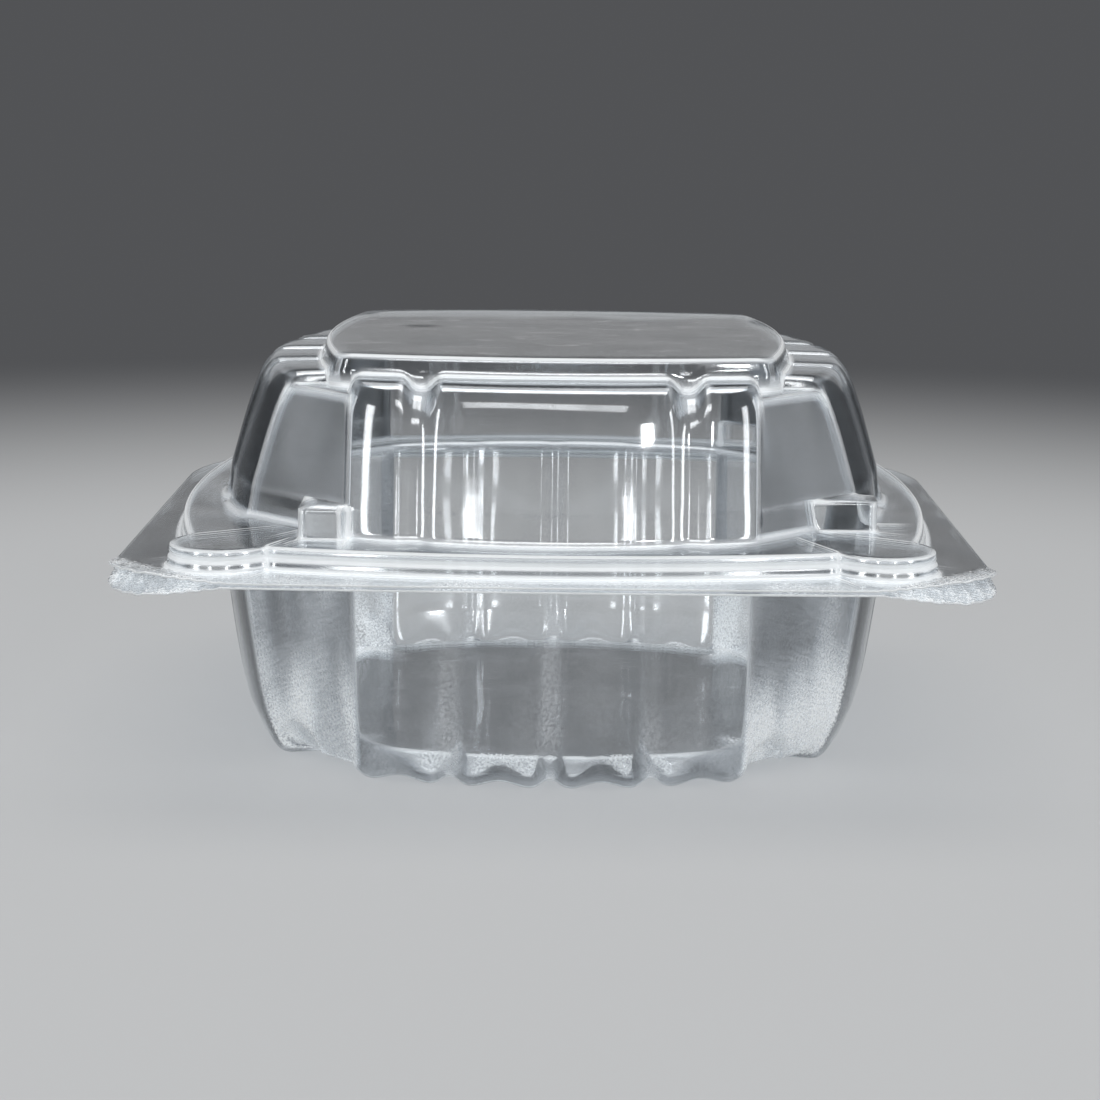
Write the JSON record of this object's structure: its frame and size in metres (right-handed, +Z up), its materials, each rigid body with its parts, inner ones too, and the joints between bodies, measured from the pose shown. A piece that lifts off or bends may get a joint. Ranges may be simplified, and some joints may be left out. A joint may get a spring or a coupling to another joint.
{
  "type": "plastic clamshell pack",
  "caption": "Square clear thermoformed food pack: ribbed tray and domed lid joined by a film hinge, with a snap bead rim and corner pull tabs.",
  "frame": {"origin": "centre of the closed pack's footprint, on the plane of its feet", "axes": "+Z up through the plateau of the lid, -Y out of the front edge with the pull tabs, +Y towards the hinge, +X to the right seen from the front"},
  "size_m": [0.153, 0.155, 0.076],
  "materials": {
    "clear_sheet": "clear thermoformed sheet, glossy, slightly wavy",
    "clear_sheet_lid": "clear thermoformed sheet, glossy, slightly wavy",
    "clear_film": "clear folded film, glossy"
  },
  "bodies": {
    "tray": {"base_tray": "clear_sheet", "living_hinge": "clear_film"},
    "lid": {"lid": "clear_sheet_lid"}
  },
  "joints": [
    {"name": "lid_hinge", "type": "hinge", "parent": "tray", "child": "lid", "pos_m": [0, 0.0765, 0.0408], "axis": [-1, 0, 0], "range_deg": [0, 180], "deforming": ["living_hinge"]}
  ]
}
